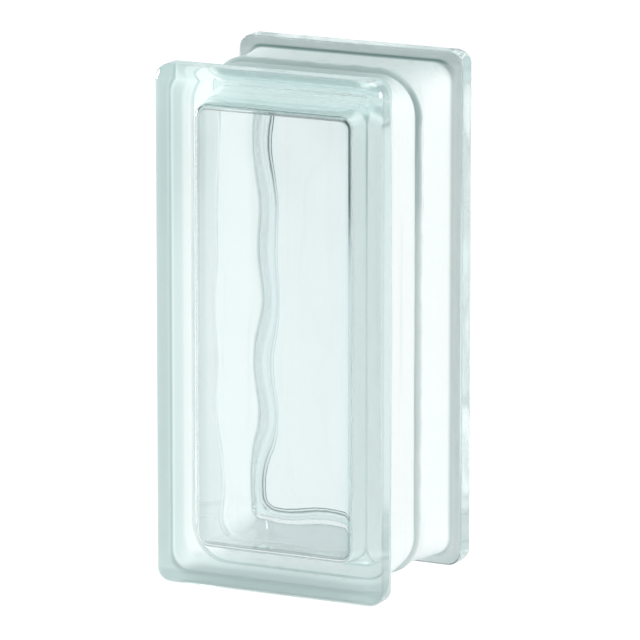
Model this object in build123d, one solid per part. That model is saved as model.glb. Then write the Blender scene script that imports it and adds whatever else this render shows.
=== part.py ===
from build123d import *
import math
import os

# A hollow clear glass block: two equal pressed halves fused at mid depth into one sealed piece.
# Millimetres. X is the width, Y the depth (the front face looks along -Y), Z is up.
# The origin is at the middle of the footprint, on the floor that the block stands on.

# Whole block
block_width = 90.0
block_height = 190.0
block_depth = 80.0

# Flange: the wide rim round each face
flange_depth = 11.0
flange_corner = 5.5
face_rounding = 4.5
parting_rounding = 0.6

# Body between the flanges, set back to leave the mortar channel
body_recess = 4.0
body_corner_at_flange = 7.0
body_corner_at_seam = 15.0
shoulder_land = 2.6
shoulder_slope = 15.0
shoulder_steps = 5

# Fused seam at mid depth, as a bead that stands out of the body and into the cavity
seam_radius = 2.2
seam_proud = 1.9
inner_seam_radius = 2.6
inner_seam_proud = 0.9

# Cavity
pane_thickness = 10.5
wall_at_seam = 6.0
cavity_inset_at_pane = 13.9
cavity_corner_at_seam = 9.0
cavity_rounding = 2.0

# Waves pressed into the inner side of each face: two pitches that fall in and out of step, on a long swell
wave_pitch_across = 34.8
wave_shift_across = 14.8
wave_height = 0.17
wave_pitch_up = 41.0
wave_shift_up = 8.5
beat_height = 0.11
beat_pitch_up = 57.0
beat_shift_up = 27.2
swell_height = 0.32
swell_pitch_up = 220.0
swell_shift_up = 21.9
wave_sample = 4.0


def outline(inset, corner, depth):
    """The rounded rectangle of the block, set in by inset, as a face at the given Y."""
    place = Plane((0, depth, 0), x_dir=(1, 0, 0), z_dir=(0, -1, 0))
    return place * RectangleRounded(block_width - 2 * inset, block_height - 2 * inset, corner)


def flange():
    """The front flange, with its rounded face edge and a crisper edge where the mould parted."""
    face = -block_depth / 2
    plate = extrude(outline(0, flange_corner, face), amount=-flange_depth)
    plate = fillet(plate.faces().sort_by(Axis.Y)[0].edges(), face_rounding)
    return fillet(plate.faces().sort_by(Axis.Y)[-1].edges(), parting_rounding)


def shoulder_radius():
    """Radius of the shoulder's hollow, from the land left on the flange down to the body."""
    return (body_recess - shoulder_land) / (1 - math.sin(math.radians(shoulder_slope)))


def shoulder_section(turn):
    """The outline of the shoulder at one turn of its hollow, with corners that widen to the body's."""
    inset = body_recess - shoulder_radius() * (1 - math.sin(turn))
    corner = flange_corner + (body_corner_at_flange - flange_corner) * inset / body_recess
    sunk = shoulder_radius() * (math.cos(math.radians(shoulder_slope)) - math.cos(turn))
    return outline(inset, corner, -block_depth / 2 + flange_depth + sunk)


def shoulder():
    """The hollow flare from inside the flange down to the set-back body, wider at the corners."""
    start = math.radians(shoulder_slope)
    step = (math.radians(90) - start) / shoulder_steps
    sections = [shoulder_section(start + step * count) for count in range(shoulder_steps + 1)]
    root = extrude(sections[0], amount=flange_depth / 2)
    return root + loft(sections)


def body():
    """Front half of the set-back body, its corners opening out from the shoulder to the seam."""
    return loft([shoulder_section(math.radians(90)), outline(body_recess, body_corner_at_seam, 0)])


def ring(inset, corner, radius):
    """A round bar bent to the block's outline at mid depth."""
    path = outline(inset, corner, 0).wire()
    return sweep((path ^ 0) * Circle(radius), path=path)


def cycles(place, shift, pitch):
    """How far a place is through a wave, as an angle."""
    return 2 * math.pi * (place - shift) / pitch


def wave(x, z):
    """Height of the pressed waves at a place on the face, with z measured from mid height."""
    across = math.sin(cycles(x, wave_shift_across, wave_pitch_across))
    up = wave_height * math.cos(cycles(z, wave_shift_up, wave_pitch_up))
    beat = beat_height * math.cos(cycles(z, beat_shift_up, beat_pitch_up))
    swell = swell_height * math.cos(cycles(z, swell_shift_up, swell_pitch_up))
    return across * (up + beat + swell)


def samples(size):
    """Evenly spaced places across a size, its two ends included."""
    count = math.ceil(size / wave_sample)
    return [size * (step / count - 0.5) for step in range(count + 1)]


def wave_face():
    """The wavy inner side of the front pane."""
    mean = -block_depth / 2 + pane_thickness
    rows = []
    for z in samples(block_height):
        rows.append([Vector(x, mean + wave(x, z), z) for x in samples(block_width)])
    return Face.make_surface_from_array_of_points(rows)


def cavity():
    """Front half of the sealed air space, which narrows towards the pane so it leaves the mould."""
    inset = body_recess + wall_at_seam
    deep = block_depth / 2 - pane_thickness
    draft = math.degrees(math.atan((cavity_inset_at_pane - inset) / deep))
    reach = deep + pane_thickness / 2
    tapered = extrude(outline(inset, cavity_corner_at_seam, 0), amount=reach, taper=draft)
    behind_wave = extrude(wave_face(), amount=block_depth, dir=(0, 1, 0))
    half = (tapered & behind_wave).solids().sort_by(Axis.Y)[0]
    rim = half.faces().sort_by(Axis.Y)[0].edges()
    return fillet(rim, cavity_rounding)


def both_halves(half):
    """A half and its twin, turned about the upright axis to close the block."""
    return half + half.rotate(Axis.Z, 180)


def glass_block():
    """The whole block: two halves, the fused seam outside and inside, and the sealed air space."""
    seam_inset = body_recess + seam_radius - seam_proud
    seam = ring(seam_inset, body_corner_at_seam - (seam_inset - body_recess), seam_radius)
    outer = both_halves(shoulder() + body() + flange()) + seam
    wall_inset = body_recess + wall_at_seam
    lip_inset = wall_inset - (inner_seam_radius - inner_seam_proud)
    lip = ring(lip_inset, cavity_corner_at_seam + (wall_inset - lip_inset), inner_seam_radius)
    air = both_halves(cavity()) - lip
    return Pos(0, 0, block_height / 2) * (outer - air)


os.makedirs("parts", exist_ok=True)
export_step(glass_block(), "parts/glass_block.step")
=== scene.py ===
"""A hollow clear glass block with pale coated sides, standing in a plain bright studio."""

from __future__ import annotations

import logging
import math
from dataclasses import dataclass, field, replace
from enum import Enum

import bmesh
import bpy
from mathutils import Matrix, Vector

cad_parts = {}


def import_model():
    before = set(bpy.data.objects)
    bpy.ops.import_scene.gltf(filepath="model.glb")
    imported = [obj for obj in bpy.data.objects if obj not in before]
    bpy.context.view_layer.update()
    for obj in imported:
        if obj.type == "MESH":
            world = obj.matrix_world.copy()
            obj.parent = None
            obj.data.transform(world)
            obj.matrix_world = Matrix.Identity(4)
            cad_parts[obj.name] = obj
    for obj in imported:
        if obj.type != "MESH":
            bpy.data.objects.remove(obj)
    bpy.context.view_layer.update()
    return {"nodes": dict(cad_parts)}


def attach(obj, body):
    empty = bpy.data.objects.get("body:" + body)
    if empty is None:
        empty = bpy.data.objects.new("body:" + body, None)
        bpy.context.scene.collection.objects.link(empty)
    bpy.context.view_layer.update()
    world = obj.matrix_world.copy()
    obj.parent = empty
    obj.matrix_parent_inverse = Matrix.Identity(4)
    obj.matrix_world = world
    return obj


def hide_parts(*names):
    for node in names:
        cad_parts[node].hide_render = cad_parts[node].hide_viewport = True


LOG = logging.getLogger("glass_block")
MM = 0.001
# Strength of the dark lines at each vertex: painted dark reflections along the glass's edges, and the
# mould's real parting line.
MOULD_AND_PAINTED_LINE_MARK = "mould_and_painted_line"
Colour = tuple[float, float, float, float]
Stops = tuple[tuple[float, float], ...]


class Surface(Enum):
    """Which finish a face of the block wears, as its place in the mesh's material list."""

    GLASS = 0
    COATING = 1


class Side(Enum):
    """Which half of the block a point belongs to, as the sign of its depth."""

    FRONT = -1
    BACK = 1


class Way(Enum):
    """Which way an uneven seam moves, as the Displace modifier names it."""

    ALONG_DEPTH = "Y"
    OUT = "NORMAL"


@dataclass(frozen=True)
class Section:
    """One rounded rectangle across the block.

    Attributes:
        inset: How far it is set in from the block's widest outline, in metres.
        corner: Radius of its corners, in metres.
        depth: Its place along Y, in metres.
        line: How strongly the dark line shows on it, from 0 to 1: painted dark reflection along the
            glass's edges, and the mould's real parting line on the parting edge.
        left: How many times stronger the line is on the section's left side.
        right: The same on its right side.
        top: The same on its top side.
        foot: The same, on top of these, near its foot.
    """

    inset: float
    corner: float
    depth: float
    line: float = 0.0
    left: float = 1.0
    right: float = 1.0
    top: float = 1.0
    foot: float = 1.0


@dataclass(frozen=True)
class Wobble:
    """How the fused seam of a skin is uneven.

    Attributes:
        reach: How far from mid depth it is uneven, in metres.
        way: Which way its points move.
        swing: How far they move in all, in metres.
        length: How long one swing is, in metres.
    """

    reach: float
    way: Way
    swing: float
    length: float


def new_material(name: str) -> tuple[bpy.types.Material, bpy.types.NodeTree, bpy.types.Node]:
    """Starts a material that holds a Principled BSDF and its output.

    Args:
        name: The material's name.

    Returns:
        The material, its node tree and the Principled BSDF.
    """
    material = bpy.data.materials.new(name)
    material.use_nodes = True
    tree = material.node_tree
    return material, tree, tree.nodes["Principled BSDF"]


def add_math(
    tree: bpy.types.NodeTree, kind: str, *values: float | bpy.types.NodeSocket
) -> bpy.types.NodeSocket:
    """Adds a Math node.

    Args:
        tree: The node tree to add it to.
        kind: The node's operation.
        values: Its inputs in order, each a number or a socket to link.

    Returns:
        The node's result.
    """
    node = tree.nodes.new("ShaderNodeMath")
    node.operation = kind
    for socket, value in zip(node.inputs, values):
        if isinstance(value, bpy.types.NodeSocket):
            tree.links.new(value, socket)
        else:
            socket.default_value = value
    return node.outputs["Value"]


def add_chain(
    tree: bpy.types.NodeTree, kind: str, first: bpy.types.NodeSocket, *others: bpy.types.NodeSocket
) -> bpy.types.NodeSocket:
    """Joins several values by the same Math operation, one after another.

    Args:
        tree: The node tree to add the nodes to.
        kind: The nodes' operation.
        first: The value to start with.
        others: The values to join to it.

    Returns:
        The last node's result.
    """
    joined = first
    for other in others:
        joined = add_math(tree, kind, joined, other)
    return joined


def add_mix(
    tree: bpy.types.NodeTree, share: bpy.types.NodeSocket, low: Colour | bpy.types.NodeSocket, high: Colour
) -> bpy.types.NodeSocket:
    """Adds a colour Mix node.

    Args:
        tree: The node tree to add it to.
        share: The mask that picks between the two colours.
        low: The colour, or a socket with it, where the mask is 0.
        high: The colour where the mask is 1.

    Returns:
        The mixed colour.
    """
    node = tree.nodes.new("ShaderNodeMix")
    node.data_type = "RGBA"
    tree.links.new(share, node.inputs["Factor"])
    if isinstance(low, bpy.types.NodeSocket):
        tree.links.new(low, node.inputs["A"])
    else:
        node.inputs["A"].default_value = low
    node.inputs["B"].default_value = high
    return node.outputs["Result"]


def add_ramp(
    tree: bpy.types.NodeTree, value: bpy.types.NodeSocket, stops: Stops
) -> bpy.types.NodeSocket:
    """Adds a grey ramp over a length.

    Args:
        tree: The node tree to add it to.
        value: The length to read, in metres.
        stops: Pairs of a length in millimetres and the grey there, in rising order.

    Returns:
        The ramp's grey.
    """
    low, high = stops[0][0], stops[-1][0]
    reach = tree.nodes.new("ShaderNodeMapRange")
    reach.inputs["From Min"].default_value = low * MM
    reach.inputs["From Max"].default_value = high * MM
    tree.links.new(value, reach.inputs["Value"])
    node = tree.nodes.new("ShaderNodeValToRGB")
    node.color_ramp.interpolation = "EASE"
    knots = node.color_ramp.elements
    while len(knots) < len(stops):
        knots.new(0.5)
    for knot, (length, grey) in zip(knots, stops):
        knot.position = (length - low) / (high - low)
        knot.color = (grey, grey, grey, 1.0)
    tree.links.new(reach.outputs["Result"], node.inputs["Fac"])
    return node.outputs["Color"]


def fine_grain_group() -> bpy.types.NodeTree:
    """Builds the fine grain that the mould and the coating leave on the glass.

    Returns:
        A shader node group with a height and a mask of small specks, both from 0 to 1.
    """
    group = bpy.data.node_groups.new("fine_grain", "ShaderNodeTree")
    socket = group.interface.new_socket
    socket("Vector", in_out="INPUT", socket_type="NodeSocketVector")
    scale = socket("Grains per metre", in_out="INPUT", socket_type="NodeSocketFloat")
    scale.default_value = 900.0
    socket("Height", in_out="OUTPUT", socket_type="NodeSocketFloat")
    socket("Specks", in_out="OUTPUT", socket_type="NodeSocketFloat")
    enter = group.nodes.new("NodeGroupInput")
    leave = group.nodes.new("NodeGroupOutput")
    noise = group.nodes.new("ShaderNodeTexNoise")
    noise.inputs["Detail"].default_value = 3.0
    noise.inputs["Roughness"].default_value = 0.6
    specks = group.nodes.new("ShaderNodeMapRange")
    specks.inputs["From Min"].default_value = 0.56
    specks.inputs["From Max"].default_value = 0.64
    link = group.links.new
    link(enter.outputs["Vector"], noise.inputs["Vector"])
    link(enter.outputs["Grains per metre"], noise.inputs["Scale"])
    link(noise.outputs["Fac"], specks.inputs["Value"])
    link(noise.outputs["Fac"], leave.inputs["Height"])
    link(specks.outputs["Result"], leave.inputs["Specks"])
    return group


def place_grain(
    tree: bpy.types.NodeTree, grain: bpy.types.NodeTree, grains: float, stretch: float = 1.0
) -> tuple[bpy.types.Node, bpy.types.Node]:
    """Puts the shared grain into a material, on the block's own coordinates.

    Args:
        tree: The material's node tree.
        grain: The shared grain group.
        grains: Grains per metre.
        stretch: How many times longer the grains are along the height than across.

    Returns:
        The group's node, and the node that gives a point's X, Y and Z.
    """
    place = tree.nodes.new("ShaderNodeTexCoord")
    node = tree.nodes.new("ShaderNodeGroup")
    node.node_tree = grain
    node.inputs["Grains per metre"].default_value = grains
    parts = tree.nodes.new("ShaderNodeSeparateXYZ")
    scale = tree.nodes.new("ShaderNodeMapping")
    scale.inputs["Scale"].default_value = (1.0, 1.0, 1.0 / stretch)
    tree.links.new(place.outputs["Object"], scale.inputs["Vector"])
    tree.links.new(scale.outputs["Vector"], node.inputs["Vector"])
    tree.links.new(place.outputs["Object"], parts.inputs["Vector"])
    return node, parts


@dataclass(frozen=True)
class ClearGlass:
    """Pressed clear glass with a faint cyan-green tint.

    Attributes:
        ior: Refractive index of soda-lime glass.
        tint: Colour that one pane lets through.
        thick_tint: Colour that the thick rim round a pane lets through.
        line: Colour of the dark lines: painted dark reflections along the inner edges and the flanges'
            edges, and the mould's real parting line.
        painted_line_heights: How strongly the painted dark reflections along the inner edges show over the
            height, as stops of a ramp.
        rim_level: How strongly the dark lines on the thick rims show, at any height: painted dark
            reflections, and the mould's real parting line.
        line_break: How much the specks break the lines up.
        matt_power: How late a line turns matt as it gets stronger.
        edge_roughness: Roughness of the glass on the flanges' edges.
        grains: Specks per metre along the lines.
        ripples: Soft ripples per metre left by fire polishing.
        ripple_height: How high those ripples are, in metres.
    """

    ior: float = 1.52
    tint: Colour = (0.838, 0.882, 0.888, 1.0)
    thick_tint: Colour = (0.715, 0.862, 0.86, 1.0)
    # Painted dark reflections along the glass's edges, and the mould's real parting line.
    line: Colour = (0.0, 0.015, 0.015, 1.0)
    painted_line_heights: Stops = ((14.0, 0.98), (24.0, 0.95), (45.0, 0.3), (110.0, 0.35), (150.0, 1.0))
    rim_level: float = 0.6
    line_break: float = 0.04
    matt_power: float = 3.0
    edge_roughness: float = 0.22
    grains: float = 420.0
    ripples: float = 60.0
    ripple_height: float = 0.03 * MM

    def thick_share(self, tree: bpy.types.NodeTree, place: bpy.types.Node) -> bpy.types.NodeSocket:
        """Finds the outer faces of the thick rims.

        Args:
            tree: The material's node tree.
            place: The node that gives a point's X, Y and Z.

        Returns:
            A mask from 0 to 1.
        """
        across, along, height = place.outputs
        half = GlassBlock.height / 2
        side = add_math(tree, "SUBTRACT", GlassBlock.width / 2, add_math(tree, "ABSOLUTE", across))
        up = add_math(tree, "ABSOLUTE", add_math(tree, "SUBTRACT", height, half))
        edge = add_math(tree, "MINIMUM", side, add_math(tree, "SUBTRACT", half, up))
        rim = add_ramp(tree, edge, ((11.0, 1.0), (16.0, 0.0)))
        outer = add_ramp(tree, add_math(tree, "ABSOLUTE", along), ((28.95, 0.0), (29.3, 1.0)))
        return add_math(tree, "MULTIPLY", rim, outer)

    def material(self, grain: bpy.types.NodeTree) -> bpy.types.Material:
        """Builds the glass material.

        Args:
            grain: The shared grain group.

        Returns:
            The material.
        """
        material, tree, shader = new_material("clear_glass")
        shader.inputs["Transmission Weight"].default_value = 1.0
        shader.inputs["IOR"].default_value = self.ior
        marks = tree.nodes.new("ShaderNodeAttribute")
        marks.attribute_name = MOULD_AND_PAINTED_LINE_MARK
        mark = marks.outputs["Fac"]
        specks, place = place_grain(tree, grain, self.grains)
        thick = self.thick_share(tree, place)
        inner = add_ramp(tree, place.outputs["Z"], self.painted_line_heights)
        change = add_math(tree, "SUBTRACT", self.rim_level, inner)
        level = add_math(tree, "MULTIPLY_ADD", thick, change, inner)
        least = 1.0 - self.line_break
        broken = add_math(tree, "MULTIPLY_ADD", specks.outputs["Specks"], self.line_break, least)
        # How much of the dark line colour goes on: painted dark reflections, and the mould's real parting
        # line.
        share = add_math(tree, "MULTIPLY", mark, add_math(tree, "MULTIPLY", level, broken))
        edge = add_math(tree, "MINIMUM", mark, self.edge_roughness)
        frosted = add_math(tree, "MULTIPLY", thick, edge)
        rough = add_math(tree, "MAXIMUM", frosted, add_math(tree, "POWER", share, self.matt_power))
        clear = add_mix(tree, thick, self.tint, self.thick_tint)
        ripple, _ = place_grain(tree, grain, self.ripples)
        bump = tree.nodes.new("ShaderNodeBump")
        bump.inputs["Distance"].default_value = self.ripple_height
        link = tree.links.new
        link(add_mix(tree, share, clear, self.line), shader.inputs["Base Color"])
        link(rough, shader.inputs["Roughness"])
        link(ripple.outputs["Height"], bump.inputs["Height"])
        link(bump.outputs["Normal"], shader.inputs["Normal"])
        return material


@dataclass(frozen=True)
class EdgeCoating:
    """The thinly laid matt coat on the set-back sides, which mortar grips.

    Attributes:
        colour: Its pale base colour.
        shade: The colour of its grain.
        painted_shade_and_streak: Its darker colour, laid on as painted shade in the hollows beside the
            flanges, at the seam's feet and on the front half's left side, top side and underside, and also
            taken by the streaks.
        roughness: Its roughness.
        grains: Grains per metre.
        grain_height: How high the grains are, in metres.
        grain_strength: How much of that height shows.
        streaks: Soft upright streaks per metre, where the wet coat ran.
        streak_stretch: How many times longer than wide the streaks are.
        streak_share: How thinly the coat lies in the streaks, from 0 to 1.
        let_through: Shares of the light that pass through it on the right, the other sides and the top,
            and how much more passes underneath.
        top_side: The height at which the coat's top side starts, as stops of a ramp.
    """

    colour: Colour = (0.915, 0.95, 0.945, 1.0)
    shade: Colour = (0.83, 0.91, 0.905, 1.0)
    painted_shade_and_streak: Colour = (0.28, 0.41, 0.40, 1.0)
    roughness: float = 0.75
    grains: float = 1500.0
    grain_height: float = 0.2 * MM
    grain_strength: float = 0.2
    streaks: float = 130.0
    streak_stretch: float = 20.0
    streak_share: float = 0.1
    let_through: tuple[float, float, float, float] = (0.38, 0.55, 0.63, 0.1)
    top_side: Stops = ((184.0, 0.0), (186.5, 1.0))

    def painted_hollow_shade(self, tree: bpy.types.NodeTree, place: bpy.types.Node) -> bpy.types.NodeSocket:
        """Finds the hollows beside the flanges, which get painted shade, strongest on the left and on top.

        Args:
            tree: The material's node tree.
            place: The node that gives a point's X, Y and Z.

        Returns:
            A mask from 0 to 1.
        """
        across, along, height = place.outputs
        away = add_math(tree, "ABSOLUTE", along)
        stops = ((26.0, 0.0), (27.2, 0.5), (28.2, 0.75), (28.75, 0.33), (29.0, 0.03))
        left = add_ramp(tree, across, ((-41.0, 1.0), (-36.0, 0.6)))
        hollow = add_math(tree, "MULTIPLY", add_ramp(tree, away, stops), left)
        stops = ((27.2, 0.0), (28.0, 0.8), (28.6, 1.0), (28.9, 0.3), (29.1, 0.0))
        top = add_ramp(tree, height, self.top_side)
        top = add_math(tree, "MULTIPLY", add_ramp(tree, away, stops), top)
        return add_math(tree, "MAXIMUM", hollow, top)

    def painted_seam_shade(self, tree: bpy.types.NodeTree, place: bpy.types.Node) -> bpy.types.NodeSocket:
        """Finds both feet of the seam, which get painted shade, strongest high up on the right.

        Args:
            tree: The material's node tree.
            place: The node that gives a point's X, Y and Z.

        Returns:
            A mask from 0 to 1.
        """
        across, along, height = place.outputs
        stops = ((0.0, 0.0), (0.7, 0.55), (1.7, 0.75), (2.3, 0.55), (3.0, 0.0))
        feet = add_ramp(tree, add_math(tree, "ABSOLUTE", along), stops)
        right = add_ramp(tree, across, ((36.0, 0.0), (41.0, 0.55)))
        high = add_ramp(tree, height, ((110.0, 0.0), (170.0, 1.0)))
        everywhere = 0.4
        level = add_math(tree, "MULTIPLY_ADD", right, high, everywhere)
        return add_math(tree, "MULTIPLY", feet, level)

    def painted_front_shade(self, tree: bpy.types.NodeTree, place: bpy.types.Node) -> bpy.types.NodeSocket:
        """Finds the front half's left side, top side and underside, which get painted shade.

        Args:
            tree: The material's node tree.
            place: The node that gives a point's X, Y and Z.

        Returns:
            A mask from 0 to 1.
        """
        across, along, height = place.outputs
        left = add_ramp(tree, across, ((-42.0, 0.2), (-37.0, 0.0)))
        stops = ((-28.0, 1.0), (-26.0, 1.3), (-23.0, 2.0), (-16.0, 2.0), (-10.0, 1.0))
        middle = add_ramp(tree, along, stops)
        high = add_ramp(tree, height, ((110.0, 1.0), (160.0, 1.4)))
        left = add_chain(tree, "MULTIPLY", left, middle, high)
        top_level = 0.42
        top = add_math(tree, "MULTIPLY", add_ramp(tree, height, self.top_side), top_level)
        half = add_ramp(tree, along, ((-6.0, 1.0), (2.0, 0.0)))
        sides = add_math(tree, "MULTIPLY", add_math(tree, "MAXIMUM", top, left), half)
        under = add_ramp(tree, height, ((3.0, 0.42), (6.0, 0.0)))
        under = add_math(tree, "MULTIPLY", under, add_ramp(tree, along, ((-18.0, 1.0), (-6.0, 0.0))))
        return add_math(tree, "MAXIMUM", sides, under)

    def passing_share(self, tree: bpy.types.NodeTree, place: bpy.types.Node) -> bpy.types.NodeSocket:
        """Finds how much light passes through the coat.

        Args:
            tree: The material's node tree.
            place: The node that gives a point's X, Y and Z.

        Returns:
            A share from 0 to 1.
        """
        across, along, height = place.outputs
        right, rest, top, under = self.let_through
        away = add_math(tree, "ABSOLUTE", along)
        share = add_ramp(tree, across, ((36.0, rest), (42.0, right)))
        over = add_ramp(tree, height, ((3.0, under), (7.0, 0.0), (182.0, 0.0), (187.0, top - rest)))
        lit = add_ramp(tree, across, ((-43.0, 0.12), (-38.0, 0.32)))
        land = add_math(tree, "MULTIPLY", lit, add_ramp(tree, away, ((28.85, 0.0), (28.98, 1.0))))
        return add_math(tree, "ADD", add_math(tree, "ADD", share, over), land)

    def material(self, grain: bpy.types.NodeTree) -> bpy.types.Material:
        """Builds the coating material.

        Args:
            grain: The shared grain group.

        Returns:
            The material.
        """
        material, tree, shader = new_material("edge_coating")
        shader.inputs["Roughness"].default_value = self.roughness
        shader.inputs["Specular IOR Level"].default_value = 0.0
        grains, place = place_grain(tree, grain, self.grains)
        pale = add_mix(tree, grains.outputs["Height"], self.colour, self.shade)
        flow, _ = place_grain(tree, grain, self.streaks, self.streak_stretch)
        streaked = add_math(tree, "MULTIPLY", flow.outputs["Specks"], self.streak_share)
        masks = (self.painted_seam_shade(tree, place), self.painted_front_shade(tree, place), streaked)
        # Painted shade: the darker colour goes into the hollows, the seam's feet and the front half's left
        # side, top and underside; the random streaks take it too.
        painted_shade_and_streak = add_chain(tree, "MAXIMUM", self.painted_hollow_shade(tree, place), *masks)
        colour = add_mix(tree, painted_shade_and_streak, pale, self.painted_shade_and_streak)
        bump = tree.nodes.new("ShaderNodeBump")
        bump.inputs["Strength"].default_value = self.grain_strength
        bump.inputs["Distance"].default_value = self.grain_height
        through = tree.nodes.new("ShaderNodeBsdfTranslucent")
        both = tree.nodes.new("ShaderNodeMixShader")
        link = tree.links.new
        link(self.passing_share(tree, place), both.inputs["Fac"])
        link(colour, shader.inputs["Base Color"])
        link(colour, through.inputs["Color"])
        link(grains.outputs["Height"], bump.inputs["Height"])
        link(bump.outputs["Normal"], shader.inputs["Normal"])
        link(shader.outputs["BSDF"], both.inputs[1])
        link(through.outputs["BSDF"], both.inputs[2])
        link(both.outputs["Shader"], tree.nodes["Material Output"].inputs["Surface"])
        return material


@dataclass
class GlassBlock:
    """The fused hollow block, as an outer skin and the skin of its sealed air space.

    All sizes are metres. Those of the block, its seam, air space and waves follow the part's source.

    Attributes:
        land_fall: How far the flat behind a flange falls off towards the shoulder.
        support: Width of the strips that keep a flat face flat beside a rounding.
        painted_edge_line: How strongly the painted dark reflection shows on the flanges' edges.
        painted_face_line: The same where the rounding of a face ends.
        parting_line: How strongly the mould's real parting line shows on the parting edge.
        painted_rim_lines: How strongly the painted dark reflection shows at each step round the air
            space's inner edges.
        foot_height: Height up to which a section's foot reaches.
        flow_marks: Shares of the way from those edges to the lip, and how far the wall stands in there.
        seam_wander: How the outer seam wanders to the front and the back.
        seam_swell: How the outer seam swells and sinks.
        lip_wander: How the inner lip wanders to the front and the back.
        smooth_angle: The angle up to which an edge is shaded smooth.
        face_steps: Sections round a face's rounding. The other steps count sections in the same way.
        corner_cuts: Cuts round each corner. The other cuts run along a section's straight sides.
        loops: First vertex of each section of the skin in work, and the one after its last.
    """

    width: float = 90 * MM
    height: float = 190 * MM
    depth: float = 80 * MM
    flange_depth: float = 11 * MM
    flange_corner: float = 5.5 * MM
    face_rounding: float = 4.5 * MM
    parting_rounding: float = 0.6 * MM
    body_recess: float = 4 * MM
    body_corner_at_flange: float = 7 * MM
    body_corner_at_seam: float = 15 * MM
    shoulder_land: float = 2.6 * MM
    shoulder_slope: float = math.radians(15)
    seam_radius: float = 2.2 * MM
    seam_proud: float = 1.9 * MM
    lip_radius: float = 2.6 * MM
    lip_proud: float = 0.9 * MM
    pane: float = 10.5 * MM
    wall_at_seam: float = 6 * MM
    cavity_inset: float = 13.9 * MM
    cavity_corner: float = 9 * MM
    cavity_rounding: float = 2 * MM
    wave_pitch_across: float = 34.8 * MM
    wave_shift_across: float = 14.8 * MM
    wave_height: float = 0.17 * MM
    wave_pitch_up: float = 41 * MM
    wave_shift_up: float = 8.5 * MM
    beat_height: float = 0.11 * MM
    beat_pitch_up: float = 57 * MM
    beat_shift_up: float = 27.2 * MM
    swell_height: float = 0.32 * MM
    swell_pitch_up: float = 220 * MM
    swell_shift_up: float = 21.9 * MM
    land_fall: float = 0.04 * MM
    support: float = 0.25 * MM
    painted_edge_line: float = 0.2
    painted_face_line: float = 0.35
    parting_line: float = 0.9
    painted_rim_lines: tuple[float, ...] = (
        1.0, 1.0, 0.1, 0.1, 0.6, 1.0, 1.0, 0.7, 0.5, 0.3, 0.15, 0.1, 0.1, 0.2, 0.3, 0.3, 0.2
    )
    foot_height: float = 45 * MM
    flow_marks: Stops = (
        (0.1, 0.0),
        (0.35, 0.0),
        (0.6, 0.0),
        (0.72, 0.15 * MM),
        (0.84, -0.12 * MM),
        (0.94, 0.12 * MM),
    )
    seam_wander: Wobble = Wobble(4 * MM, Way.ALONG_DEPTH, 1.1 * MM, 11 * MM)
    seam_swell: Wobble = Wobble(2.2 * MM, Way.OUT, 0.8 * MM, 5 * MM)
    lip_wander: Wobble = Wobble(11 * MM, Way.ALONG_DEPTH, 6 * MM, 26 * MM)
    smooth_angle: float = math.radians(38)
    face_steps: int = 12
    parting_steps: int = 4
    shoulder_steps: int = 10
    seam_steps: int = 8
    lip_steps: int = 6
    corner_cuts: int = 12
    across_cuts: int = 29
    up_cuts: int = 77
    air_up_cuts: int = 159
    loops: list[tuple[int, int]] = field(default_factory=list)

    @property
    def shoulder_radius(self) -> float:
        """Radius of the hollow between the flange and the body."""
        return (self.body_recess - self.shoulder_land) / (1 - math.sin(self.shoulder_slope))

    def body_corner(self, depth: float) -> float:
        """Corner radius of the body, which opens out from the shoulder to the seam.

        Args:
            depth: Place along Y.

        Returns:
            The radius there.
        """
        foot = self.depth / 2 - self.flange_depth - self.shoulder_radius * math.cos(self.shoulder_slope)
        grown = self.body_corner_at_seam - self.body_corner_at_flange
        return self.body_corner_at_seam - grown * abs(depth) / foot

    def wave(self, x: float, z: float) -> float:
        """Height of the waves pressed into a pane.

        Args:
            x: Place across the pane, from its middle.
            z: Place up the pane, from its middle.

        Returns:
            How far the pane's inner side stands off its mean there.
        """
        full = 2 * math.pi
        across = math.sin(full * (x - self.wave_shift_across) / self.wave_pitch_across)
        up = self.wave_height * math.cos(full * (z - self.wave_shift_up) / self.wave_pitch_up)
        beat = self.beat_height * math.cos(full * (z - self.beat_shift_up) / self.beat_pitch_up)
        swell = self.swell_height * math.cos(full * (z - self.swell_shift_up) / self.swell_pitch_up)
        return across * (up + beat + swell)

    def flange_sections(self) -> list[Section]:
        """Lists the sections of the front flange.

        Returns:
            Sections from the edge of the face to the parting edge.
        """
        face = -self.depth / 2
        out = []
        for step in range(self.face_steps + 1):
            turn = math.radians(90) * step / self.face_steps
            inset = self.face_rounding * (1 - math.sin(turn))
            sunk = self.face_rounding * (1 - math.cos(turn))
            # Painted dark reflection where the face's rounding ends.
            line = self.painted_face_line if step > self.face_steps - 3 else 0.0
            out.append(Section(inset, self.flange_corner - inset, face + sunk, line))
        parting = face + self.flange_depth
        first = face + self.face_rounding + self.support
        last = parting - self.parting_rounding - self.support
        # Painted dark reflection along the flange's edge.
        for depth in (first, last):
            out.append(Section(0.0, self.flange_corner, depth, self.painted_edge_line))
        for step in range(self.parting_steps + 1):
            turn = math.radians(90) * step / self.parting_steps
            inset = self.parting_rounding * (1 - math.cos(turn))
            depth = parting - self.parting_rounding * (1 - math.sin(turn))
            # The mould's real parting line in the middle of the rounding, painted dark reflection at its
            # ends.
            line = self.parting_line if 0 < step < self.parting_steps else self.painted_edge_line
            out.append(Section(inset, self.flange_corner - inset, depth, line))
        return out

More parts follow.
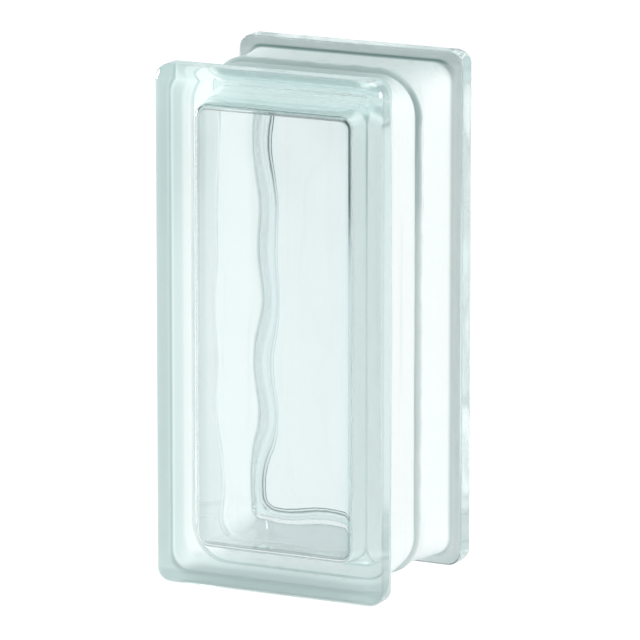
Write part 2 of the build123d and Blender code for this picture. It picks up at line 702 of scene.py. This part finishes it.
    def shoulder_sections(self) -> list[Section]:
        """Lists the sections of the front shoulder.

        Returns:
            Sections from the flange down to the body.
        """
        start = self.shoulder_slope
        parting = -self.depth / 2 + self.flange_depth
        out = []
        for step in range(self.shoulder_steps + 1):
            turn = start + (math.radians(90) - start) * step / self.shoulder_steps
            inset = self.body_recess - self.shoulder_radius * (1 - math.sin(turn))
            share = inset / self.body_recess
            corner = self.flange_corner + (self.body_corner_at_flange - self.flange_corner) * share
            sunk = self.shoulder_radius * (math.cos(start) - math.cos(turn))
            out.append(Section(inset, corner, parting + max(sunk, self.land_fall)))
        return out

    def outer_half(self) -> list[Section]:
        """Lists the sections of the front half's outside.

        Returns:
            Sections from the edge of the face to just before the seam's crest.
        """
        out = self.flange_sections() + self.shoulder_sections()
        base = math.acos((self.seam_radius - self.seam_proud) / self.seam_radius)
        foot = self.seam_radius * math.sin(base)
        last = out[-1].depth
        for share in (0.1, 0.35, 0.65, 0.88, 0.96):
            depth = last + (-foot - last) * share
            out.append(Section(self.body_recess, self.body_corner(depth), depth))
        for step in range(self.seam_steps):
            turn = base * (1 - step / self.seam_steps)
            rise = self.seam_radius * math.cos(turn) - (self.seam_radius - self.seam_proud)
            depth = -self.seam_radius * math.sin(turn)
            out.append(Section(self.body_recess - rise, self.body_corner(depth) + rise, depth))
        return out

    def cavity_half(self) -> list[Section]:
        """Lists the sections of the front half's air space.

        Returns:
            Sections from the rim of the pane to just before the inner lip's crest.
        """
        mean = -self.depth / 2 + self.pane
        seam_inset = self.body_recess + self.wall_at_seam
        lean = (self.cavity_inset - seam_inset) / -mean
        rim = self.cavity_inset + self.cavity_rounding + self.support
        rim_corner = self.cavity_corner - (rim - seam_inset)
        out = [Section(rim, rim_corner, mean - self.land_fall / 4)]
        for step, line in enumerate(self.painted_rim_lines):
            turn = math.radians(90) * step / (len(self.painted_rim_lines) - 1)
            sunk = self.cavity_rounding * (1 - math.cos(turn))
            drawn = self.cavity_rounding * (1 - math.sin(turn))
            wall = seam_inset + lean * (-mean - sunk)
            corner = self.cavity_corner - (wall - seam_inset) - drawn
            # How strongly the painted dark reflections show on the right and on top at each step.
            right, top = (0.15, 0.8) if step < 2 else (1.6, 0.4)
            out.append(
                Section(
                    wall + drawn, corner, mean + sunk, line, left=0.3, right=right, top=top, foot=0.4
                )
            )
        base = math.acos((self.lip_radius - self.lip_proud) / self.lip_radius)
        foot = self.lip_radius * math.sin(base)
        last = out[-1].depth
        for share, rise in self.flow_marks:
            depth = last + (-foot - last) * share
            wall = seam_inset + lean * -depth + rise
            out.append(Section(wall, self.cavity_corner - (wall - seam_inset), depth))
        for step in range(self.lip_steps):
            turn = base * (1 - step / self.lip_steps)
            rise = self.lip_radius * math.cos(turn) - (self.lip_radius - self.lip_proud)
            depth = -self.lip_radius * math.sin(turn)
            wall = seam_inset + lean * -depth + rise
            out.append(Section(wall, self.cavity_corner - (wall - seam_inset), depth))
        return out

    def add_loop(self, section: Section, up_cuts: int) -> None:
        """Adds one section to the mesh in edit mode, as a plane that is rounded and emptied.

        Args:
            section: The rounded rectangle to add.
            up_cuts: Cuts along its upright sides.
        """
        mesh = bpy.context.edit_object.data
        start = len(bmesh.from_edit_mesh(mesh).verts)
        middle = (0.0, section.depth, self.height / 2)
        bpy.ops.mesh.select_all(action="DESELECT")
        bpy.ops.mesh.primitive_plane_add(
            size=1.0, location=middle, rotation=(math.radians(90), 0.0, 0.0)
        )
        size = (self.width - 2 * section.inset, 1.0, self.height - 2 * section.inset)
        bpy.ops.transform.resize(value=size, center_override=middle)
        bpy.ops.mesh.bevel(
            affect="VERTICES", offset=section.corner, segments=self.corner_cuts, profile=0.5
        )
        bpy.ops.mesh.delete(type="ONLY_FACE")
        for axis, cuts in ((0, self.across_cuts), (2, up_cuts)):
            self.select_straight(start, axis)
            bpy.ops.mesh.subdivide(number_cuts=cuts)
        self.loops.append((start, len(bmesh.from_edit_mesh(mesh).verts)))

    def select_straight(self, start: int, axis: int) -> None:
        """Selects the two long edges of the newest section that run along one axis.

        Args:
            start: Index of the section's first vertex.
            axis: 0 for the edges along X, 2 for those along Z.
        """
        mesh = bpy.context.edit_object.data
        form = bmesh.from_edit_mesh(mesh)
        form.verts.ensure_lookup_table()
        bpy.ops.mesh.select_all(action="DESELECT")
        runs = []
        for edge in {edge for vert in form.verts[start:] for edge in vert.link_edges}:
            span = edge.verts[1].co - edge.verts[0].co
            runs.append((abs(span[axis]), edge))
        runs.sort(key=lambda run: run[0], reverse=True)
        for _, edge in runs[:2]:
            edge.select_set(True)
        form.select_flush_mode()
        bmesh.update_edit_mesh(mesh)

    def select_loops(self, *numbers: int) -> None:
        """Selects whole sections of the mesh in edit mode.

        Args:
            numbers: Places of the sections in the order they were added.
        """
        mesh = bpy.context.edit_object.data
        form = bmesh.from_edit_mesh(mesh)
        form.verts.ensure_lookup_table()
        bpy.ops.mesh.select_all(action="DESELECT")
        for low, high in (self.loops[number] for number in numbers):
            for vert in form.verts[low:high]:
                for edge in vert.link_edges:
                    if low <= edge.other_vert(vert).index < high:
                        edge.select_set(True)
        bmesh.update_edit_mesh(mesh)

    def start_mesh(self, name: str) -> bpy.types.Object:
        """Adds a primitive, empties it and stays in edit mode, ready for sections.

        Args:
            name: The new object's name.

        Returns:
            The object.
        """
        bpy.ops.object.select_all(action="DESELECT")
        bpy.ops.mesh.primitive_plane_add(size=self.width)
        made = bpy.context.object
        made.name = name
        made.data.name = name
        bpy.ops.object.mode_set(mode="EDIT")
        bpy.ops.mesh.select_mode(type="EDGE")
        bpy.ops.mesh.select_all(action="SELECT")
        bpy.ops.mesh.delete(type="VERT")
        self.loops.clear()
        return made

    def skin(
        self, name: str, half: list[Section], crest: Section, up_cuts: int
    ) -> tuple[bpy.types.Object, list[Section]]:
        """Joins a half's sections, the crest at mid depth and the other half's into one tube.

        Args:
            name: The new object's name.
            half: Sections of the front half, from its face to the crest.
            crest: The section at mid depth.
            up_cuts: Cuts along each section's upright sides.

        Returns:
            The object, still in edit mode and open at both faces, and all its sections in order.
        """
        made = self.start_mesh(name)
        back = [replace(part, depth=-part.depth, left=1.0, foot=1.0) for part in reversed(half)]
        sections = half + [crest] + back
        for section in sections:
            self.add_loop(section, up_cuts)
        for number in range(len(self.loops) - 1):
            self.select_loops(number, number + 1)
            bpy.ops.mesh.bridge_edge_loops()
        return made, sections

    def build_outside(self) -> bpy.types.Object:
        """Builds the outer skin: flanges, hollow shoulders, body and seam.

        Returns:
            The outer skin.
        """
        crest = Section(
            self.body_recess - self.seam_proud, self.body_corner_at_seam + self.seam_proud, 0.0
        )
        made, sections = self.skin("block_outside", self.outer_half(), crest, self.up_cuts)
        for number in (0, len(self.loops) - 1):
            self.select_loops(number)
            bpy.ops.mesh.edge_face_add()
            bpy.ops.mesh.inset(thickness=self.support)
        bpy.ops.mesh.select_all(action="SELECT")
        bpy.ops.mesh.normals_make_consistent(inside=False)
        bpy.ops.object.mode_set(mode="OBJECT")
        self.mark_lines(made, sections)
        self.wobble(made, self.seam_wander)
        self.wobble(made, self.seam_swell)
        return made

    def build_air(self) -> bpy.types.Object:
        """Builds the skin of the sealed air space, its panes pressed into waves.

        Returns:
            The air space's skin, turned so that it faces the air.
        """
        seam_inset = self.body_recess + self.wall_at_seam
        crest = Section(seam_inset + self.lip_proud, self.cavity_corner - self.lip_proud, 0.0)
        made, sections = self.skin("block_air", self.cavity_half(), crest, self.air_up_cuts)
        for number in (0, len(self.loops) - 1):
            self.fill_pane(number)
        bpy.ops.mesh.select_all(action="SELECT")
        bpy.ops.mesh.normals_make_consistent(inside=True)
        bpy.ops.object.mode_set(mode="OBJECT")
        self.mark_lines(made, sections)
        self.press_waves(made)
        self.wobble(made, self.lip_wander)
        return made

    def mark_lines(self, skin: bpy.types.Object, sections: list[Section]) -> None:
        """Stores on a skin how strongly the dark line shows at each vertex: painted dark reflection, and
        the mould's real parting line.

        Args:
            skin: The skin, whose sections are its first vertices.
            sections: The sections in the order they were added.
        """
        marks = skin.data.attributes.new(MOULD_AND_PAINTED_LINE_MARK, "FLOAT", "POINT")
        for (low, high), section in zip(self.loops, sections):
            side = self.width / 2 - section.inset - section.corner / 2
            roof = self.height - section.inset - section.corner / 2
            for index in range(low, high):
                place = skin.data.vertices[index].co
                if abs(place.x) > side:
                    share = section.right if place.x > 0 else section.left
                else:
                    share = section.top if place.z > roof else 1.0
                if place.z < self.foot_height:
                    share *= section.foot
                marks.data[index].value = min(1.0, section.line * share)

    def wobble(self, skin: bpy.types.Object, shape: Wobble) -> None:
        """Makes the fused seam of a skin uneven.

        Args:
            skin: The skin to change.
            shape: How the seam is uneven.
        """
        steepness = 1.5
        group = skin.vertex_groups.new(name="seam")
        for vert in skin.data.vertices:
            share = steepness * (1 - abs(vert.co.y) / shape.reach)
            if share > 0:
                group.add([vert.index], min(share, 1.0), "REPLACE")
        clouds = bpy.data.textures.new("seam_clouds", "CLOUDS")
        clouds.noise_scale = shape.length
        clouds.noise_depth = 1
        bpy.context.view_layer.objects.active = skin
        bpy.ops.object.modifier_add(type="DISPLACE")
        change = skin.modifiers[-1]
        change.texture = clouds
        change.texture_coords = "LOCAL"
        change.direction = shape.way.value
        change.strength = shape.swing
        change.vertex_group = group.name
        bpy.ops.object.modifier_apply(modifier=change.name)
        skin.vertex_groups.clear()

    def fill_pane(self, number: int) -> None:
        """Fills one end of the air space with a grid of faces.

        Args:
            number: Place of the end's section.
        """
        self.select_loops(number)
        mesh = bpy.context.edit_object.data
        form = bmesh.from_edit_mesh(mesh)
        form.verts.ensure_lookup_table()
        low, high = self.loops[number]
        ring = [form.verts[index] for index in range(low, high)]
        corner = min(ring, key=lambda vert: vert.co.x + vert.co.z)
        form.select_history.clear()
        form.select_history.add(corner)
        bmesh.update_edit_mesh(mesh)
        bpy.ops.mesh.fill_grid(span=self.across_cuts + 1 + self.corner_cuts)

    def press_waves(self, air: bpy.types.Object) -> None:
        """Moves the panes' inner sides by the wave, fading out along the walls.

        Args:
            air: The air space's skin.
        """
        mean = self.depth / 2 - self.pane
        reach = 2.5 * self.cavity_rounding
        for vert in air.data.vertices:
            side = Side.FRONT if vert.co.y < 0 else Side.BACK
            away = mean - abs(vert.co.y)
            share = max(0.0, 1.0 - max(away, 0.0) / reach)
            share = share * share * (3 - 2 * share)
            turned = -side.value
            height = self.wave(vert.co.x * turned, vert.co.z - self.height / 2)
            vert.co.y += turned * height * share

    def dress(self, outside: bpy.types.Object, air: bpy.types.Object) -> None:
        """Gives the two skins their finishes: the coat between the flanges, clear glass elsewhere.

        Args:
            outside: The outer skin.
            air: The air space's skin.
        """
        grain = fine_grain_group()
        glass, coating = ClearGlass().material(grain), EdgeCoating().material(grain)
        air.data.materials.append(glass)
        outside.data.materials.append(glass)
        outside.data.materials.append(coating)
        parting = self.depth / 2 - self.flange_depth
        for face in outside.data.polygons:
            coated = abs(face.center.y) < parting - self.land_fall / 4
            face.material_index = (Surface.COATING if coated else Surface.GLASS).value

    def build(self) -> bpy.types.Object:
        """Builds the two skins, dresses them and joins them into the block.

        Returns:
            The finished mesh object, at the origin.
        """
        outside = self.build_outside()
        air = self.build_air()
        self.dress(outside, air)
        bpy.ops.object.select_all(action="DESELECT")
        air.select_set(True)
        outside.select_set(True)
        bpy.context.view_layer.objects.active = outside
        bpy.ops.object.join()
        block = bpy.context.object
        block.name = "hollow_block"
        block.data.name = "hollow_block"
        bpy.ops.object.shade_smooth_by_angle(angle=self.smooth_angle)
        return block


@dataclass
class PhotoCamera:
    """The camera at the photograph's viewing angle.

    Attributes:
        azimuth: How far it stands to the right of the block's front.
        elevation: How far above the level it stands.
        distance: How far it is from the point it aims at, in metres.
        lens: Its focal length in millimetres.
        sensor: Its sensor's width in millimetres.
        reach: The farthest it sees, in metres.
        aim_right: How far right of the block's middle it aims, in metres.
        aim_up: How far above the block's middle it aims, in metres.
    """

    azimuth: float = math.radians(26.25)
    elevation: float = math.radians(12.5)
    distance: float = 2.4698
    lens: float = 385.83
    sensor: float = 36.0
    reach: float = 20.0
    aim_right: float = 2.0 * MM
    aim_up: float = -1.6 * MM

    def build(self) -> bpy.types.Object:
        """Adds the camera and makes it the scene's own.

        Returns:
            The camera object.
        """
        turn, tilt = self.azimuth, self.elevation
        back = Vector(
            (math.sin(turn) * math.cos(tilt), -math.cos(turn) * math.cos(tilt), math.sin(tilt))
        )
        right = Vector((math.cos(turn), math.sin(turn), 0.0))
        up = back.cross(right)
        middle = Vector((0.0, 0.0, GlassBlock.height / 2))
        aim = middle + right * self.aim_right + up * self.aim_up
        bpy.ops.object.camera_add(
            location=aim + back * self.distance, rotation=(math.radians(90) - tilt, 0.0, turn)
        )
        camera = bpy.context.object
        camera.data.lens = self.lens
        camera.data.sensor_width = self.sensor
        camera.data.clip_end = self.reach
        bpy.context.scene.camera = camera
        return camera


@dataclass(frozen=True)
class Softbox:
    """One soft lamp that faces the block.

    Attributes:
        name: The lamp's name.
        place: Where it stands.
        power: Its power in watts.
        size: Its width and height.
        colour: The colour of its light.
    """

    name: str
    place: tuple[float, float, float]
    power: float
    size: float
    colour: tuple[float, float, float]

    def build(self) -> None:
        """Adds the lamp, which isn't part of the object."""
        aim = Vector((0.0, 0.0, GlassBlock.height / 2)) - Vector(self.place)
        bpy.ops.object.light_add(
            type="AREA", location=self.place, rotation=aim.to_track_quat("-Z", "Y").to_euler()
        )
        lamp = bpy.context.object
        lamp.name = self.name
        lamp.data.energy = self.power
        lamp.data.size = self.size
        lamp.data.color = self.colour


@dataclass
class Studio:
    """A plain pale floor that glows round the block, two softboxes beside it and one above.

    Attributes:
        floor_size: The floor's width in metres.
        floor_colour: Its own colour.
        floor_roughness: Its roughness.
        floor_glow: How brightly it glows.
        glow_middle: Where the glow is centred.
        glow_fade: How the glow fades away from there, as stops of a ramp.
        front_sky: Light from the camera's side.
        back_sky: Light from behind the block.
        sky_turn: Where the one turns into the other, as depths of a direction.
        lamps: The softboxes.
        glass_bounces: Bounces of the light through glass.
        gloss_bounces: Bounces of the light between glossy faces.
        matt_bounces: Bounces of the light between matt faces.
    """

    floor_size: float = 12.0
    floor_colour: Colour = (0.15, 0.15, 0.15, 1.0)
    floor_roughness: float = 0.9
    floor_glow: float = 0.96
    glow_middle: tuple[float, float, float] = (-0.2, 0.45, 0.0)
    glow_fade: Stops = ((750.0, 1.0), (1600.0, 0.4))
    front_sky: Colour = (0.03, 0.1, 0.095, 1.0)
    back_sky: Colour = (0.72, 0.8, 0.8, 1.0)
    sky_turn: tuple[float, float] = (0.1, 0.8)
    lamps: tuple[Softbox, ...] = (
        Softbox("key_right", (1.5, 0.25, 0.35), 25.0, 1.0, (1.0, 0.905, 0.9)),
        Softbox("fill_left", (-1.5, 0.1, 0.35), 33.0, 0.8, (1.0, 0.885, 0.88)),
        Softbox("top_soft", (0.1, 0.5, 1.5), 15.5, 1.0, (0.93, 1.0, 1.0)),
    )
    glass_bounces: int = 32
    gloss_bounces: int = 16
    matt_bounces: int = 12

    def build(self) -> None:
        """Adds the floor, the surrounding light and the lamps."""
        self.add_floor()
        self.add_surround()
        for lamp in self.lamps:
            lamp.build()
        self.set_render()

    def add_floor(self) -> None:
        """Adds the floor, which isn't part of the object."""
        bpy.ops.object.select_all(action="DESELECT")
        bpy.ops.mesh.primitive_plane_add(size=self.floor_size)
        floor = bpy.context.object
        floor.name = "studio_floor"
        material, tree, shader = new_material("studio_floor")
        shader.inputs["Base Color"].default_value = self.floor_colour
        shader.inputs["Roughness"].default_value = self.floor_roughness
        shader.inputs["Specular IOR Level"].default_value = 0.0
        shader.inputs["Emission Strength"].default_value = self.floor_glow
        place = tree.nodes.new("ShaderNodeTexCoord")
        reach = tree.nodes.new("ShaderNodeVectorMath")
        reach.operation = "DISTANCE"
        reach.inputs[1].default_value = self.glow_middle
        tree.links.new(place.outputs["Object"], reach.inputs[0])
        fade = add_ramp(tree, reach.outputs["Value"], self.glow_fade)
        tree.links.new(fade, shader.inputs["Emission Color"])
        floor.data.materials.append(material)

    def add_surround(self) -> None:
        """Sets the soft light from all round, dimmer on the camera's side."""
        world = bpy.data.worlds.new("studio_surround")
        world.use_nodes = True
        bpy.context.scene.world = world
        tree = world.node_tree
        light = tree.nodes["Background"]
        way = tree.nodes.new("ShaderNodeTexCoord")
        parts = tree.nodes.new("ShaderNodeSeparateXYZ")
        reach = tree.nodes.new("ShaderNodeMapRange")
        reach.interpolation_type = "SMOOTHSTEP"
        reach.inputs["From Min"].default_value = self.sky_turn[0]
        reach.inputs["From Max"].default_value = self.sky_turn[1]
        sky = add_mix(tree, reach.outputs["Result"], self.front_sky, self.back_sky)
        tree.links.new(way.outputs["Generated"], parts.inputs["Vector"])
        tree.links.new(parts.outputs["Y"], reach.inputs["Value"])
        tree.links.new(sky, light.inputs["Color"])

    def set_render(self) -> None:
        """Sets the tones and the light bounces that hollow glass needs."""
        scene = bpy.context.scene
        scene.view_settings.view_transform = "Standard"
        scene.view_settings.look = "None"
        cycles = scene.cycles
        cycles.caustics_reflective = True
        cycles.caustics_refractive = True
        cycles.max_bounces = self.glass_bounces
        cycles.transmission_bounces = self.glass_bounces
        cycles.glossy_bounces = self.gloss_bounces
        cycles.diffuse_bounces = self.matt_bounces
        cycles.use_denoising = True


def main() -> None:
    """Builds the block, the studio and the camera, in that order."""
    logging.basicConfig(level=logging.INFO, format="%(name)s: %(message)s")
    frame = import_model()
    LOG.info("solids loaded: %s", ", ".join(sorted(frame["nodes"])))
    block = GlassBlock().build()
    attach(block, "root")
    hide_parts("glass_block")
    LOG.info("%s: %d faces", block.name, len(block.data.polygons))
    Studio().build()
    LOG.info("studio ready")
    PhotoCamera().build()
    LOG.info("camera ready")


if __name__ == "__main__":
    main()
